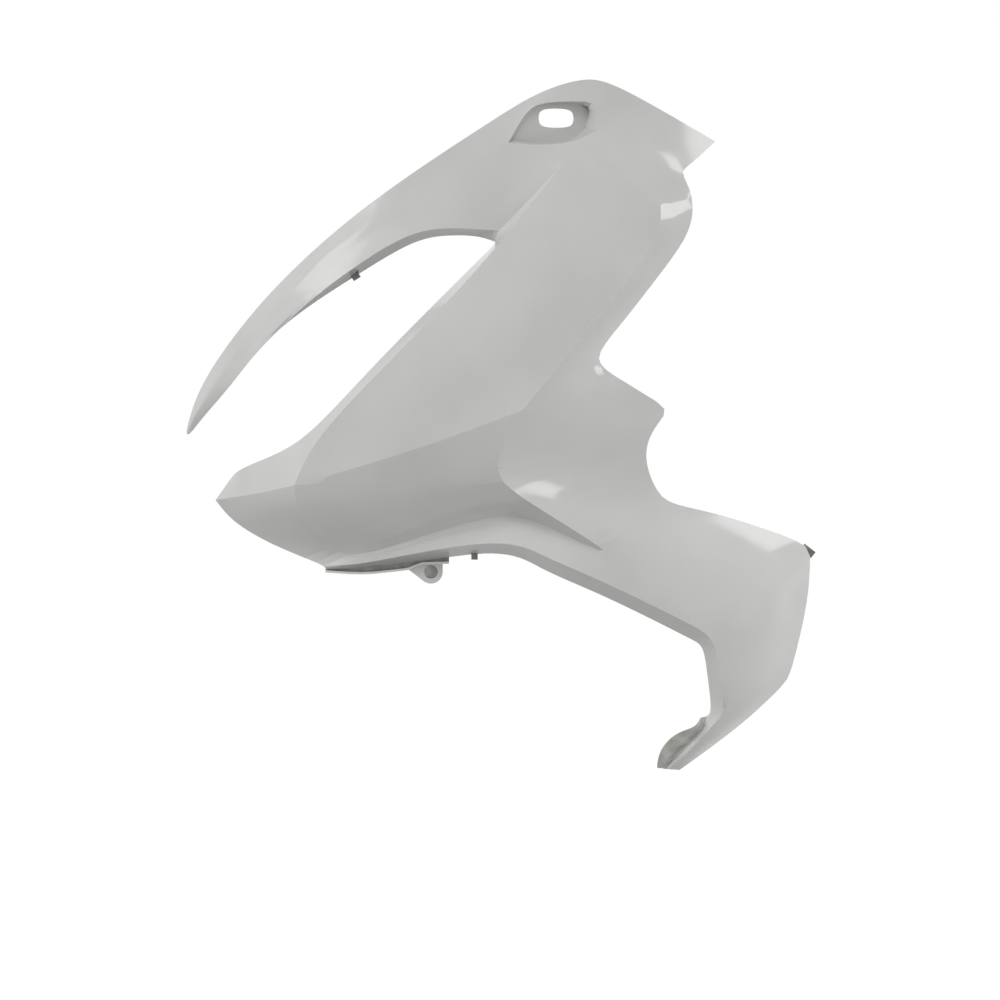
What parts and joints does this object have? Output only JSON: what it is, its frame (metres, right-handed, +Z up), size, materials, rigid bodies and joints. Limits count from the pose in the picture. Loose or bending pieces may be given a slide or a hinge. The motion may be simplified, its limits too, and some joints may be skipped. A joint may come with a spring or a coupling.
{
  "type": "motorcycle side fairing",
  "caption": "Moulded side fairing with a horn over the headlight opening, a slotted mirror seat, a folded main panel, a knee recess and a tail panel.",
  "frame": {"origin": "axis of the screw ear under the front lower edge, at the mouth of its socket", "axes": "+X rearward along the bike, +Y inward to the bike's middle, +Z up; the painted side faces -Y"},
  "size_m": [0.6998, 0.1869, 0.763],
  "materials": {
    "painted_shell": "gloss light grey paint on moulded plastic"
  },
  "bodies": {
    "root": {"fairing": "painted_shell"}
  },
  "joints": []
}
